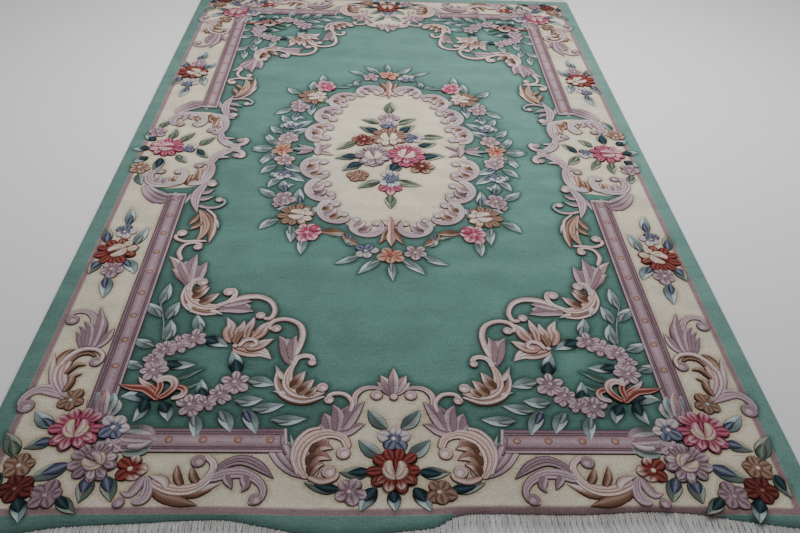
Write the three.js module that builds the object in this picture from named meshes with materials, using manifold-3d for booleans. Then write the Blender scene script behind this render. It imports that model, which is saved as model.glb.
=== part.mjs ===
// A carved Aubusson rug: one thick wool carpet that lies flat, with a cotton fringe on each short end.
// Units are millimetres. +Z is up, +Y runs from the near end to the far end, and the origin is
// under the middle of the carpet, on the floor.
import * as THREE from "three";
import { mergeVertices } from "three/addons/utils/BufferGeometryUtils.js";
import Module from "manifold-3d";

const wasm = await Module();
wasm.setup();

// Driving dimensions of the carpet, a five by eight foot rug
const rugWidth = 1524;
const rugLength = 2438;
const thickness = 16;
const wallHeight = 5;
const edgeRound = 12;

// The carved frame: a groove inside the green guard band, and a raised rail with two edges
const guardWidth = 42;
const grooveWidth = 5;
const grooveDepth = 1.2;
const railRise = 1.4;
const railSlope = 3;
const sideRail = { inner: 544, outer: 588, from: 262, to: 985 };
const endRail = { inner: 1004, outer: 1054, from: 210, to: 430 };

// Driving dimensions of the fringes
const seam = 0.3;
const headingWidth = 13;
const headingThickness = 3.4;
const headingInset = 4;
const locksPerEnd = 140;
const lockWidth = 5.6;
const lockTopWidth = 3.4;
const lockThickness = 3;
const lockLength = 62;
const lockRoot = 4;
const tipShare = 0.72;
const lockStretches = [0, 0.3, 0.68, 1];
const lengthUnevenness = 4;
const leanUnevenness = 0.7;
const bowUnevenness = 0.8;
const straightEnd = 90;

// The slow waves in which the locks lean to either side, with each fringe at its own place in them
const leanWaves = [
  { size: 6, stretch: 118, start: 0, perSide: 1.3 },
  { size: 7, stretch: 205, start: 0.6, perSide: 2.1 },
];

const halfWidth = rugWidth / 2;
const halfLength = rugLength / 2;
const guardLine = halfWidth - guardWidth;
const guardEndLine = halfLength - guardWidth;
const headingReach = halfWidth - headingInset;

// The near end isn't straight: it draws in by up to 49 mm in two bays
const nearEnd = [
  { across: -halfWidth, end: -1219 },
  { across: -660, end: -1214 },
  { across: -560, end: -1199 },
  { across: -450, end: -1193 },
  { across: -350, end: -1187 },
  { across: -290, end: -1187 },
  { across: -225, end: -1199 },
  { across: -150, end: -1213 },
  { across: -60, end: -1216 },
  { across: 20, end: -1206 },
  { across: 70, end: -1199 },
  { across: 110, end: -1178 },
  { across: 170, end: -1174 },
  { across: 330, end: -1176 },
  { across: 440, end: -1170 },
  { across: 520, end: -1173 },
  { across: 610, end: -1187 },
  { across: 690, end: -1199 },
  { across: halfWidth, end: -1206 },
];

function nearEndAt(x) {
  const last = nearEnd.length - 2;
  let i = nearEnd.findIndex((row, k) => k < last && x <= nearEnd[k + 1].across);
  if (i < 0) i = last;
  const a = nearEnd[i];
  const b = nearEnd[i + 1];
  const before = nearEnd[Math.max(i - 1, 0)];
  const after = nearEnd[Math.min(i + 2, nearEnd.length - 1)];
  const span = b.across - a.across;
  const t = (x - a.across) / span;
  const slopeA = ((b.end - before.end) / (b.across - before.across)) * span;
  const slopeB = ((after.end - a.end) / (after.across - a.across)) * span;
  const t2 = t * t;
  const t3 = t2 * t;
  return (
    (2 * t3 - 3 * t2 + 1) * a.end +
    (t3 - 2 * t2 + t) * slopeA +
    (3 * t2 - 2 * t3) * b.end +
    (t3 - t2) * slopeB
  );
}

const smooth = (t) => {
  const s = Math.min(Math.max(t, 0), 1);
  return s * s * (3 - 2 * s);
};

// The pile's height at a distance from the rug's edge: a low wall, then a round shoulder
function shoulder(distance) {
  const s = 1 - Math.min(distance / edgeRound, 1);
  return wallHeight + (thickness - wallHeight) * Math.sqrt(1 - s * s);
}

// 1 in the middle of a band and 0 past its sloped sides
function band(value, low, high, slope) {
  return smooth((value - low + slope) / slope) * smooth((high + slope - value) / slope);
}

function relief(x, y) {
  const ax = Math.abs(x);
  const ay = Math.abs(y);
  const side =
    band(ax, sideRail.inner, sideRail.outer, railSlope) *
    band(ay, sideRail.from, sideRail.to, railSlope);
  const end =
    band(ay, endRail.inner, endRail.outer, railSlope) *
    band(ax, endRail.from, endRail.to, railSlope);
  const offSide = Math.abs(ax - guardLine);
  const offEnd = Math.abs(ay - guardEndLine);
  const alongSide = offSide < grooveWidth / 2 && ay <= guardEndLine;
  const alongEnd = offEnd < grooveWidth / 2 && ax <= guardLine && y > 0;
  const groove = alongSide || alongEnd ? grooveDepth : 0;
  return railRise * Math.max(side, end) - groove;
}

// Distances from an edge at which a row of points runs
const edgeRows = [0, 0.6, 2.2, 5.5, edgeRound];

function mirrored(values) {
  return [...values.map((v) => -v), ...values];
}

function sortedRows(values, least) {
  const rows = [...values].sort((a, b) => a - b);
  return rows.filter((v, i) => i === 0 || v - rows[i - 1] > least);
}

function slopedEdges(low, high) {
  return [low - railSlope, low, high, high + railSlope];
}

// Columns across the rug, and rows along it. What lies between the carved edges follows the near
// end's shape, with narrow steps at its steep stretch.
const columnsBetween = [20, 60, 85, 110, 140, 170, 255, 290, 330, 380, 480, 515, 620, 660];
const rowsBetween = [-1120, -620, 0, 620];
const leastStep = 0.4;
const columns = sortedRows(
  [
    ...mirrored(edgeRows.map((d) => halfWidth - d)),
    ...mirrored([guardLine - grooveWidth / 2, guardLine, guardLine + grooveWidth / 2]),
    ...mirrored(slopedEdges(sideRail.inner, sideRail.outer)),
    ...mirrored(slopedEdges(endRail.from, endRail.to)),
    ...mirrored(columnsBetween),
  ],
  leastStep,
);
const rows = sortedRows(
  [
    ...edgeRows.map((d) => halfLength - d),
    guardEndLine - grooveWidth / 2,
    guardEndLine,
    guardEndLine + grooveWidth / 2,
    ...mirrored(slopedEdges(endRail.inner, endRail.outer)),
    ...mirrored(slopedEdges(sideRail.from, sideRail.to)),
    ...rowsBetween,
  ],
  leastStep,
);

function geometryFrom(positions, triangles) {
  const geometry = new THREE.BufferGeometry();
  geometry.setAttribute("position", new THREE.Float32BufferAttribute(positions, 3));
  geometry.setIndex(triangles);
  return geometry;
}

// The carpet: a grid of columns and rows on top, whose first rows follow the near end,
// a wall round it, and a flat back
function carpetGeometry() {
  const positions = [];
  const triangles = [];
  const allRows = [...edgeRows.map((offset) => ({ offset })), ...rows.map((y) => ({ y }))];
  const at = (i, j) => j * columns.length + i;
  for (const row of allRows) {
    for (const x of columns) {
      const near = nearEndAt(x);
      const y = row.y ?? near + row.offset;
      const fromEdge = Math.min(halfWidth - Math.abs(x), y - near, halfLength - y);
      positions.push(x, y, shoulder(fromEdge) + (fromEdge < edgeRound ? 0 : relief(x, y)));
    }
  }
  for (let j = 0; j + 1 < allRows.length; j++) {
    for (let i = 0; i + 1 < columns.length; i++) {
      triangles.push(at(i, j), at(i + 1, j), at(i + 1, j + 1));
      triangles.push(at(i, j), at(i + 1, j + 1), at(i, j + 1));
    }
  }
  const lastColumn = columns.length - 1;
  const lastRow = allRows.length - 1;
  const rim = [];
  for (let i = 0; i < lastColumn; i++) rim.push(at(i, 0));
  for (let j = 0; j < lastRow; j++) rim.push(at(lastColumn, j));
  for (let i = lastColumn; i > 0; i--) rim.push(at(i, lastRow));
  for (let j = lastRow; j > 0; j--) rim.push(at(0, j));
  const firstFoot = positions.length / 3;
  for (const k of rim) positions.push(positions[3 * k], positions[3 * k + 1], 0);
  rim.forEach((k, n) => {
    const next = (n + 1) % rim.length;
    triangles.push(k, firstFoot + n, firstFoot + next);
    triangles.push(k, firstFoot + next, rim[next]);
  });
  const outline = rim.map((k) => new THREE.Vector2(positions[3 * k], positions[3 * k + 1]));
  for (const [a, b, c] of THREE.ShapeUtils.triangulateShape(outline, [])) {
    triangles.push(firstFoot + a, firstFoot + c, firstFoot + b);
  }
  return geometryFrom(positions, triangles);
}

// A closed strip of flat sections: each section is four corners in order round it
function sectionStrip(sections, positions, triangles) {
  const first = positions.length / 3;
  for (const section of sections) for (const corner of section) positions.push(...corner);
  for (let s = 0; s + 1 < sections.length; s++) {
    for (let k = 0; k < 4; k++) {
      const a = first + 4 * s + k;
      const b = first + 4 * s + ((k + 1) % 4);
      triangles.push(a, b, b + 4, a, b + 4, a + 4);
    }
  }
  const end = first + 4 * (sections.length - 1);
  triangles.push(first, first + 2, first + 1, first, first + 3, first + 2);
  triangles.push(end, end + 1, end + 2, end, end + 2, end + 3);
}

function solidFrom(positions, triangles) {
  const merged = mergeVertices(geometryFrom(positions, triangles), 1e-4);
  return new wasm.Manifold(
    new wasm.Mesh({
      numProp: 3,
      vertProperties: new Float32Array(merged.getAttribute("position").array),
      triVerts: new Uint32Array(merged.index.array),
    }),
  );
}

function geometryOf(solid) {
  const mesh = solid.getMesh();
  return geometryFrom(Array.from(mesh.vertProperties), Array.from(mesh.triVerts));
}

// A repeatable number from -1 to 1 for each lock
const uneven = (index, seed) => {
  const wave = Math.sin(index * 12.9898 + seed * 78.233) * 43758.5453;
  return 2 * (wave - Math.floor(wave)) - 1;
};

// How far to the side a lock's tip lies from its root, by where it hangs
function lean(x, side) {
  const sizes = leanWaves.map(
    (wave) => wave.size * Math.sin(x / wave.stretch + wave.start + side * wave.perSide),
  );
  return sizes.reduce((sum, size) => sum + size, 0);
}

// 1 along most of a fringe, and 0 at its two ends, where the locks lie straight
const looseness = (x) => smooth((headingReach - Math.abs(x)) / straightEnd);

// A fringe at one end: side is -1 at the near end and 1 at the far end. The locks lie on the
// floor, in three stretches each, with their roots in a woven heading, which has a section at
// each of the stations.
function fringeGeometry(side, edgeAt, stations) {
  const headingPositions = [];
  const headingTriangles = [];
  const sections = [-headingReach, ...stations, headingReach].map((x) => {
    const inner = edgeAt(x) + side * seam;
    const outer = inner + side * headingWidth;
    return [
      [x, inner, 0],
      [x, outer, 0],
      [x, outer, headingThickness],
      [x, inner, headingThickness],
    ];
  });
  if (side < 0) sections.forEach((section) => section.reverse());
  sectionStrip(sections, headingPositions, headingTriangles);

  const lockPositions = [];
  const lockTriangles = [];
  const pitch = (2 * headingReach - lockWidth) / (locksPerEnd - 1);
  for (let n = 0; n < locksPerEnd; n++) {
    const x = -headingReach + lockWidth / 2 + n * pitch;
    const rootY = edgeAt(x) + side * (seam + headingWidth - lockRoot);
    const length = lockRoot + lockLength + lengthUnevenness * uneven(n, 1);
    const aside = looseness(x) * (lean(x, side) + leanUnevenness * uneven(n, 2));
    const bow = looseness(x) * bowUnevenness * uneven(n, 3);
    const lock = lockStretches.map((t) => {
      const slim = 1 - (1 - tipShare) * t;
      const middle = x + aside * t * t + bow * Math.sin(Math.PI * t);
      const y = rootY + side * length * t;
      const low = (lockWidth / 2) * slim;
      const top = (lockTopWidth / 2) * slim;
      const high = lockThickness * slim;
      return [
        [middle - low, y, 0],
        [middle - top, y, high],
        [middle + top, y, high],
        [middle + low, y, 0],
      ];
    });
    if (side < 0) lock.forEach((section) => section.reverse());
    sectionStrip(lock, lockPositions, lockTriangles);
  }
  const heading = solidFrom(headingPositions, headingTriangles);
  return geometryOf(heading.add(solidFrom(lockPositions, lockTriangles)));
}

const pileWool = new THREE.MeshStandardMaterial({ color: 0x5f8f80, roughness: 0.95, metalness: 0 });
const fringeCotton = new THREE.MeshStandardMaterial({
  color: 0xd8d2cc,
  roughness: 0.9,
  metalness: 0,
});

const rug = new THREE.Group();

const carpet = new THREE.Mesh(carpetGeometry(), pileWool);
carpet.name = "carpet";
rug.add(carpet);

const nearStations = columns.filter((x) => Math.abs(x) < headingReach);
const nearFringe = new THREE.Mesh(fringeGeometry(-1, nearEndAt, nearStations), fringeCotton);
nearFringe.name = "fringe_near";
rug.add(nearFringe);

const farFringe = new THREE.Mesh(
  fringeGeometry(1, () => halfLength, []),
  fringeCotton,
);
farFringe.name = "fringe_far";
rug.add(farFringe);

export default rug;
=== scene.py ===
"""A carved Aubusson rug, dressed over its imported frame.

The drawing of the rug is worked out in millimetres, with x across it from the middle line and
y along it from the middle towards an end. Its carved motifs are closed, cushion-shaped strokes
of pile, set down in layers on a carved ground. Most of the drawing repeats in the four
quarters, so its tables give places in one quarter, counted outwards from the middle.
"""

import math

import bpy
import numpy as np
from mathutils import Matrix, Vector, kdtree


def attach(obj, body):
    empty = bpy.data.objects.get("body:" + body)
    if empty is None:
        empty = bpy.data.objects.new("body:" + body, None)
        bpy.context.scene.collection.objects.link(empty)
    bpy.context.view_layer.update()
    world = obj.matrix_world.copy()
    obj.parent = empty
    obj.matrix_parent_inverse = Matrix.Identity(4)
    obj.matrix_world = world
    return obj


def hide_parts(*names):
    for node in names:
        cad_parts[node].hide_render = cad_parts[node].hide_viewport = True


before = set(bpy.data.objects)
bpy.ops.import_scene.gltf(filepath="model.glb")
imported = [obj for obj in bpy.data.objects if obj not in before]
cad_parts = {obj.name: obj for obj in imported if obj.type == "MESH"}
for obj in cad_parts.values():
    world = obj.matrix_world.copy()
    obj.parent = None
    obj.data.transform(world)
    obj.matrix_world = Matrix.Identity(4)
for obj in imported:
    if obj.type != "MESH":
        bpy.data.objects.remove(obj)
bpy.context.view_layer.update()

MM = 0.001

# The carpet, as the frame has it
RUG_WIDTH = 1524.0
RUG_LENGTH = 2438.0
PILE_TOP = 16.0
WALL_HEIGHT = 5.0
EDGE_ROUND = 12.0
EDGE_ROWS = (0.0, 0.6, 2.2, 5.5, EDGE_ROUND)
HALF_WIDTH = RUG_WIDTH / 2
HALF_LENGTH = RUG_LENGTH / 2
GUARD_WIDTH = 42.0
GUARD_SIDE = HALF_WIDTH - GUARD_WIDTH
GUARD_END = HALF_LENGTH - GUARD_WIDTH
GROUND_STEP = 7.0
GROUND_NEAR_ROW = -1120.0

# The near end isn't straight: (across, end) at each place
NEAR_END = (
    (-762, -1219), (-660, -1214), (-560, -1199), (-450, -1193), (-350, -1187), (-290, -1187),
    (-225, -1199), (-150, -1213), (-60, -1216), (20, -1206), (70, -1199), (110, -1178),
    (170, -1174), (330, -1176), (440, -1170), (520, -1173), (610, -1187), (690, -1199),
    (762, -1206),
)
NEAR_MEAN = -1193.0
GUARD_FOLLOW = 0.16
GUARD_NEAR_SHIFT = 4.8

# Carving: how high a stroke stands, how far one layer lies over the next, and how far a
# stroke's foot reaches down and out
RISE = 0.9
FULL_HALF_WIDTH = 5.0
LAYER_STEP = 0.75
DIP = 1.2
APRON = 1.3
SHOULDER = 1.7
SHOULDER_SHARE = 0.3
STROKE_STEP = 4.0
ROUND_END_SHARE = 0.45
ROUND_END_ROWS = np.array([0.0, 0.1, 0.45])
DISC_LIGHT = (-0.2, 0.25)
BALL_RISE = 0.7

# How the ground is cut lower beside the strokes and along the guard band's edge, and how far the
# painted shade reaches beside the strokes and where they crowd
CARVE_DEPTH = 0.9
CARVE_REACH = 13.0
CROWD_REACH = 56.0
CROWD_CELL = 8.0
GROOVE_DEPTH = 0.8
GROOVE_WIDTH = 3.0

# Fringes, as the frame has them
SEAM = 0.3
HEADING_WIDTH = 13.0
HEADING_THICKNESS = 3.4
HEADING_REACH = HALF_WIDTH - 4
HEADING_RIBS = 4
HEADING_STEP = 12.0
HEADING_HUMP = 2.9
LOCKS = 140
LOCK_WIDTH = 5.6
LOCK_LENGTH = 62.0
LENGTH_UNEVENNESS = 4.0
LEAN_UNEVENNESS = 0.7
BOW_UNEVENNESS = 0.8
STRAIGHT_END = 90.0
LEAN_WAVES = ((6, 118, 0.0, 1.3), (7, 205, 0.6, 2.1))  # size, stretch, start, per side
YARNS_PER_LOCK = 4
YARN_RADIUS = 1.25
YARN_PITCH = 2.65
YARN_SPREAD = 3.0
YARN_WANDER = 1.5
TWISTS = 1.6
LOCK_STEPS = 13

# The camera stands where the rug's own lines put it, about chest high before the near end
LENS_PIXELS = 741.65
PHOTO_WIDTH = 800
SENSOR = 36.0
CAMERA_AT = Vector((-0.04457, -1.87827, 1.15438 + PILE_TOP * MM))
CAMERA_PITCH = math.radians(40.388)
CAMERA_YAW = math.radians(2.730)
CAMERA_ROLL = math.radians(2.520)

# The studio. Each light has its place, its target, its width and height, its power, how far
# it spreads and its colour
FLOOR_HALF = 12000.0
FLOOR_CORNERS = np.array([(-1, -1, 0), (1, -1, 0), (1, 1, 0), (-1, 1, 0)])
FLOOR_COLOUR = (0.94, 0.94, 0.935, 1)
SKY_COLOUR = (0.95, 0.97, 1.0, 1)
SKY_STRENGTH = 0.32
LIGHTS = {
    "over_middle": ((0.2, 0.46, 2.1), (0.2, 0.42, 0), 2.7, 1.1, 18, 100, (1.0, 0.99, 0.97)),
    "over_far": ((1.0, 1.5, 1.9), (0, 0.3, 0), 1.8, 1.2, 9, 180, (1.0, 1.0, 1.0)),
    "far_window": ((0.6, 2.9, 2.3), (0.1, 0.3, 0), 3.2, 1.8, 11, 180, (0.97, 0.99, 1.0)),
}


def near_end_at(x):
    """Where the near end lies at a place across the rug: a smooth line through its table."""
    across, ends = np.array(NEAR_END, float).T
    slopes = np.gradient(ends)
    slopes[1:-1] = (ends[2:] - ends[:-2]) / (across[2:] - across[:-2])
    slopes[0] = (ends[1] - ends[0]) / (across[1] - across[0])
    slopes[-1] = (ends[-1] - ends[-2]) / (across[-1] - across[-2])
    i = np.clip(np.searchsorted(across, x, side="left") - 1, 0, len(across) - 2)
    span = across[i + 1] - across[i]
    t = (x - across[i]) / span
    rise = 3 * t**2 - 2 * t**3
    start = (t**3 - 2 * t**2 + t) * span * slopes[i]
    stop = (t**3 - t**2) * span * slopes[i + 1]
    return ends[i] * (1 - rise) + ends[i + 1] * rise + start + stop


def far_end_at(x):
    return np.full(np.shape(x), HALF_LENGTH)


def smooth(t):
    s = np.clip(t, 0, 1)
    return s * s * (3 - 2 * s)


def rows_of(table):
    """A table's rows, without its comments."""
    return [row for row in table.splitlines() if row and row[0] != "#"]


def dye(hex_colour):
    """A hex colour as linear red, green and blue."""
    parts = [int(hex_colour[i : i + 2], 16) / 255 for i in (0, 2, 4)]
    return tuple(c / 12.92 if c <= 0.04045 else ((c + 0.055) / 1.055) ** 2.4 for c in parts)


# Yarns, each with its outline, shade, body and light
YARNS = """
mauve 6a5358 957b83 ae949c ccb7bd
haze 8a787b a8979a c2b2b5 d8cdce
plum 422c31 684f56 866b72 a7919a
pink 66463f a88078 cba79d e8cfc6
shell 7a5c5a b89a97 d7beba ecdddb
brown 452c24 654536 7f5c4b a78a79
peach 54362b 86604f a98473 ccb09f
rust 30130c 59291e 80473a b58977
frost 4a5c5e 8e9d9f b3bfc0 d5dddd
pale 26403f 677877 8d9b9a b9c5c3
grey 2c3836 545f5d 7b8582 a2aba8
moss 262f28 404d3d 5d6959 848e7f
sage 3c443c 68716a 878f82 abb1a1
dark 0a1316 13242a 20353b 38525a
blue 1c1f2b 32364a 505469 82879c
white 454b56 8b919b bcbfc6 e1e2e4
rose 400b1b 722038 a03f5b c4748a
blush 74384a a86a7a cb969e e6c6c6
red 260807 4b1411 702521 9c5049
coral 35110c 7d3226 ab5f4e cf9a88
rail 4e3940 785d66 987c85 b8a0a7
fern 1c3630 3a5a50 5a7c71 84a297
wine 1d0506 380e0d 561c19 7d3f38
buff 7d6852 b09b82 c8b69d dccfba
clay 4a322c 7d5b50 a3796c d0ada2
cream 85715a c2b093 ddd0b6 f1ead9
bloom 4f383f 82656d ae959c d5c6cb
ribbon 421915 6c2c24 954f44 d2aaa0
"""
YARN = {row.split()[0]: np.array([dye(tone) for tone in row.split()[1:]]) for row in rows_of(YARNS)}
GROUND_GREEN = dye("658d85")
# Painted shade: the darker green laid where carved strokes crowd round the ground
PAINTED_SHADE_GREEN = dye("567b73")
GROUND_CREAM = dye("e2d8c2")
GROUND_GUARD = dye("6c9088")
LINE_MAUVE = dye("9a7f83")
COTTON_SHADE = dye("e2deda")
COTTON_LIGHT = dye("fbfaf8")

# How unevenly wool and cotton are dyed, and, in the last row for wool, painted shade in the thin slits
# between rows of knots: noise's features to a metre across, along and up, its detail, its low and
# high, and how dark and light the colour is at them
WOOL_UNEVENNESS = (
    ((0.7, 13, 1), 2.0, 0.32, 0.68, 0.93, 1.05),
    ((11, 16, 9), 2.0, 0.3, 0.7, 0.92, 1.06),
    ((300, 300, 300), 3.0, 0.3, 0.7, 0.84, 1.12),
    ((22, 330, 22), 1.0, 0.66, 0.76, 1.0, 0.72),
)
COTTON_UNEVENNESS = (((900, 500, 900), 2.0, 0.3, 0.7, 0.75, 1.1),)
# Painted light on the green field and guard band: darker to the left and lighter to the right, as the
# pile's sheen shows it
PAINTED_LIGHT_ACROSS_GREEN = (-0.6, 0.65, 0.89, 1.1)  # from, to across in metres, and how dark and light there

# What a stroke is like across, from its left side to its right: place, height and tone
SECTIONS = {
    "plain": ((-1, 0.8, 1), (-0.3, 1, 2), (0.35, 1, 3), (1, 0.8, 2)),
    "tube": ((-1, 0.75, 2), (-0.4, 1, 3), (0.2, 0.9, 2), (1, 0.7, 1)),
    "petal": ((-1, 0.7, 1), (-0.5, 1, 2), (0, 1, 3), (0.5, 1, 2), (1, 0.7, 1)),
    "twin": ((-1, 0.75, 1), (-0.55, 1, 3), (-0.05, 0.75, 1), (0.45, 1, 3), (1, 0.7, 2)),
    "band": (
        (-1, 0.8, 3), (-0.62, 0.95, 2), (-0.4, 0.9, 1), (0.35, 1, 2), (0.62, 0.95, 3), (1, 0.8, 2),
    ),
    "veined": ((-1, 0.8, 3), (-0.15, 1, 2), (0, 0.65, 0), (0.15, 0.95, 1), (1, 0.8, 1)),
    "fluted": (
        (-1, 0.8, 3), (-0.6, 1, 3), (-0.48, 0.7, 0), (-0.3, 1, 2), (0.05, 1, 3), (0.2, 0.75, 1),
        (0.35, 1, 2), (0.65, 1, 3), (1, 0.8, 2),
    ),
    "rail": (
        (-1, 0.7, 3), (-0.88, 0.9, 3), (-0.8, 0.5, 0), (-0.7, 0.9, 2), (-0.62, 0.5, 0),
        (-0.52, 1, 2), (0, 1, 3), (0.45, 1, 2), (0.54, 0.5, 0), (0.64, 0.9, 2), (0.74, 0.5, 0),
        (0.86, 0.8, 2), (1, 0.7, 1),
    ),
}


def line_through(points):
    """A smooth line through a few points, as closely spaced samples."""
    p = np.array(points, float)
    padded = np.vstack([2 * p[0] - p[1], p, 2 * p[-1] - p[-2]])
    t = np.linspace(0, 1, 13)[:, None]
    spans = []
    for a, b, c, d in zip(padded, padded[1:], padded[2:], padded[3:]):
        curve = 2 * b + (c - a) * t + (2 * a - 5 * b + 4 * c - d) * t**2
        spans.append(0.5 * (curve + (3 * b - a - 3 * c + d) * t**3))
    return np.vstack([s[:-1] for s in spans] + [spans[-1][-1:]])


def at_shares(values, shares):
    """Values set at equal steps along a stroke, read smoothly at other shares of its length."""
    line = line_through(np.column_stack([np.linspace(0, 1, len(values)), values]))
    return np.maximum(np.interp(shares, line[:, 0], line[:, 1]), 0)


def new_object(name, data):
    """Puts a mesh, camera or light in the scene."""
    added = bpy.data.objects.new(name, data)
    bpy.context.scene.collection.objects.link(added)
    return added


def new_piece(name, points, faces, material):
    """A smooth mesh piece, from points in millimetres."""
    mesh = bpy.data.meshes.new(name)
    mesh.from_pydata((points * MM).tolist(), [], faces)
    mesh.shade_smooth()
    mesh.materials.append(material)
    return new_object(name, mesh)


class Pen:
    """Gathers carved strokes in one closed mesh, with the yarn's colour at every point."""

    def __init__(self, name, across, along):
        self.name = name
        self.flip = (across, along, 1)
        self.points = []
        self.colours = []
        self.faces = []
        self.count = 0

    def add(self, points, colours, faces):
        turned = self.flip[0] * self.flip[1] < 0
        for face in faces:
            self.faces.append([self.count + k for k in (face[::-1] if turned else face)])
        self.points.append(points * self.flip)
        self.colours.append(colours)
        self.count += len(points)

    def stroke(self, points, widths, yarn, tip, section, layer=0, shift=(0.3, 0.8)):
        """A stroke of pile along a line. Its half widths are given at equal steps along it. It
        ends in a point where its width is 0 and elsewhere round, and a rail ends square. Its
        yarn changes to the tip's between the two shares of its length in shift."""
        blunt = section == "rail"
        line = line_through(points)
        along = np.concatenate([[0], np.cumsum(np.linalg.norm(np.diff(line, axis=0), axis=1))])
        length = along[-1]
        longest = 0 if blunt else length * ROUND_END_SHARE
        low, high = min(widths[0], longest), min(widths[-1], longest)
        count = max(3, int((length - low - high) / STROKE_STEP) + 2)
        body = np.linspace(low, length - high, count)
        ends = (low * ROUND_END_ROWS, length - high * ROUND_END_ROWS[::-1])
        stations = np.unique(np.round(np.concatenate([ends[0], body, ends[1]]), 3))

        def places_at(lengths):
            return np.column_stack([np.interp(lengths, along, line[:, k]) for k in (0, 1)])

        centre = places_at(stations)
        ahead = places_at(stations + 0.5) - places_at(stations - 0.5)
        ahead /= np.maximum(np.linalg.norm(ahead, axis=1), 1e-9)[:, None]
        normal = np.column_stack([-ahead[:, 1], ahead[:, 0]])
        shares = stations / length
        half = at_shares(widths, shares)
        for cap, reach in ((low, stations), (high, length - stations)):
            if cap > 0:
                half = half * np.sqrt(np.maximum(1 - (1 - np.minimum(reach / cap, 1)) ** 2, 0))
        inner = half - np.minimum(SHOULDER, SHOULDER_SHARE * half)
        base = PILE_TOP + layer * LAYER_STEP
        full = RISE * (0.45 + 0.55 * np.minimum(half / FULL_HALF_WIDTH, 1))
        across, heights, tones = zip(*SECTIONS[section])
        offsets = [-(half + APRON), -half, *[at * inner for at in across], half, half + APRON]
        foot = 0 * half - DIP
        heights = [foot, 0.5 * full, *[height * full for height in heights], 0.5 * full, foot]
        heights = np.column_stack(heights) + base
        # The outline tone at the stroke's edge and foot is partly the woven outline's yarn and partly
        # painted shade of the carved groove about the stroke
        start, stop = (YARN[name][[0, 0, *tones, 0, 0]] for name in (yarn, tip))
        mix = smooth((shares - shift[0]) / (shift[1] - shift[0]))[:, None, None]
        colours = start[None] * (1 - mix) + stop[None] * mix
        places = centre[:, None, :] + normal[:, None, :] * np.column_stack(offsets)[:, :, None]
        trim = slice(None) if blunt else slice(1, -1)
        grid = np.concatenate([places, heights[:, :, None]], axis=2)[trim]
        rows, columns = grid.shape[:2]
        low_tip = [*centre[0] - ahead[0] * APRON, base - DIP]
        high_tip = [*centre[-1] + ahead[-1] * APRON, base - DIP]
        points = np.vstack([grid.reshape(-1, 3), low_tip, high_tip])
        colours = np.vstack([colours[trim].reshape(-1, 3), start[0], stop[0]])
        faces = []
        for r in range(0, (rows - 1) * columns, columns):
            for a in range(r, r + columns - 1):
                faces.append((a + columns, a + columns + 1, a + 1, a))
            faces.append((r, r + columns - 1, r + 2 * columns - 1, r + columns))
        near, far = rows * columns, rows * columns + 1
        r = (rows - 1) * columns
        for k in range(columns - 1):
            faces.append((near, k, k + 1))
            faces.append((far, r + k + 1, r + k))
        faces.append((near, columns - 1, 0))
        faces.append((far, r, r + columns - 1))
        self.add(points, colours, faces)

    def disc(self, at, radius, yarn, layer=0, rise=1.0, light=DISC_LIGHT, coiled=False):
        """A round cushion of pile, with its light off its middle. A coiled one has a groove about
        its light, as the rolled end of a scroll has."""
        sides = 14 if radius > 5 else 10
        angles = np.linspace(0, 2 * math.pi, sides, endpoint=False)
        ring = np.column_stack([np.cos(angles), np.sin(angles)])
        tones = YARN[yarn]
        rim = min(0.9, 0.16 * radius)
        # The rim and foot have the outline tone: partly the woven outline's yarn, partly painted shade
        # of the carved groove about the disc
        # Each ring of points has its radius, its height, its tone and its share of the light's shift
        bands = [
            (radius + APRON, -DIP, 0, 0), (radius, 0.5 * RISE, 0, 0),
            (radius - 1.8 * rim, 0.85 * RISE, 2, 0),
        ]
        if coiled:
            bands += [(radius * 0.6, 0.5 * rise, 1, 0.6), (radius * 0.4, rise, 3, 1)]
        else:
            bands += [(radius * 0.6, rise, 2, 0.4), (radius * 0.3, 1.1 * rise, 3, 1)]
        base = PILE_TOP + layer * LAYER_STEP
        points, colours = [], []
        for size, height, tone, off in bands:
            flat = np.array(at) + ring * size + np.array(light) * off * radius
            points.append(np.column_stack([flat, np.full(sides, base + height)]))
            mixed = tones[tone] if tone < 3 else (tones[2] + tones[3]) / 2
            colours.append(np.repeat(mixed[None], sides, axis=0))
        points.append([[*np.array(at) + np.array(light) * radius, base + 1.15 * rise]])
        colours.append(tones[3][None])
        faces = [tuple(range(sides))[::-1]]
        last = (len(bands) - 1) * sides
        for first in range(0, last, sides):
            for k in range(sides):
                a, n = first + k, first + (k + 1) % sides
                faces.append((a, n, n + sides, a + sides))
        for k in range(sides):
            faces.append((last + k, last + (k + 1) % sides, last + sides))
        self.add(np.vstack(points), np.vstack(colours), faces)

    def piece(self, material):
        piece = new_piece(self.name, np.vstack(self.points), self.faces, material)
        attribute = piece.data.color_attributes.new("yarn", "FLOAT_COLOR", "POINT")
        colours = np.column_stack([np.vstack(self.colours), np.ones(self.count)])
        attribute.data.foreach_set("color", colours.ravel())
        return piece


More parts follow.
